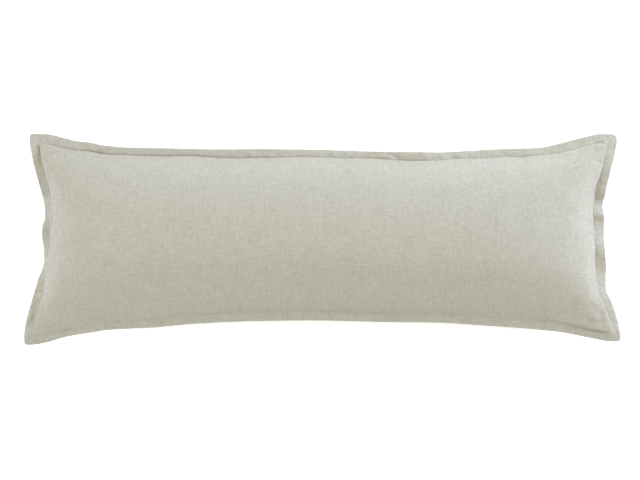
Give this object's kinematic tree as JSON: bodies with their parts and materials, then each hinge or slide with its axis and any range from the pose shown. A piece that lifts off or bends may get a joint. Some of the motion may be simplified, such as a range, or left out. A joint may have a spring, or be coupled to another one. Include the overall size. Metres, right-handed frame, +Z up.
{
  "type": "lumbar pillow",
  "caption": "Long, narrow filled linen pillow with drawn-in sides and a flat doubled border past its seam, lying on its back.",
  "frame": {"origin": "on the surface that it lies on, under the middle of its outline", "axes": "+X along the pillow's length, +Y across it, +Z up out of its face"},
  "size_m": [1.006, 0.3608, 0.1502],
  "materials": {
    "linen": "plain-woven slubby linen, pale grey green, matt with a faint sheen",
    "linen_border": "the same linen doubled and stitched flat"
  },
  "bodies": {
    "root": {"cushion_body": "linen", "flange": "linen_border"}
  },
  "joints": []
}
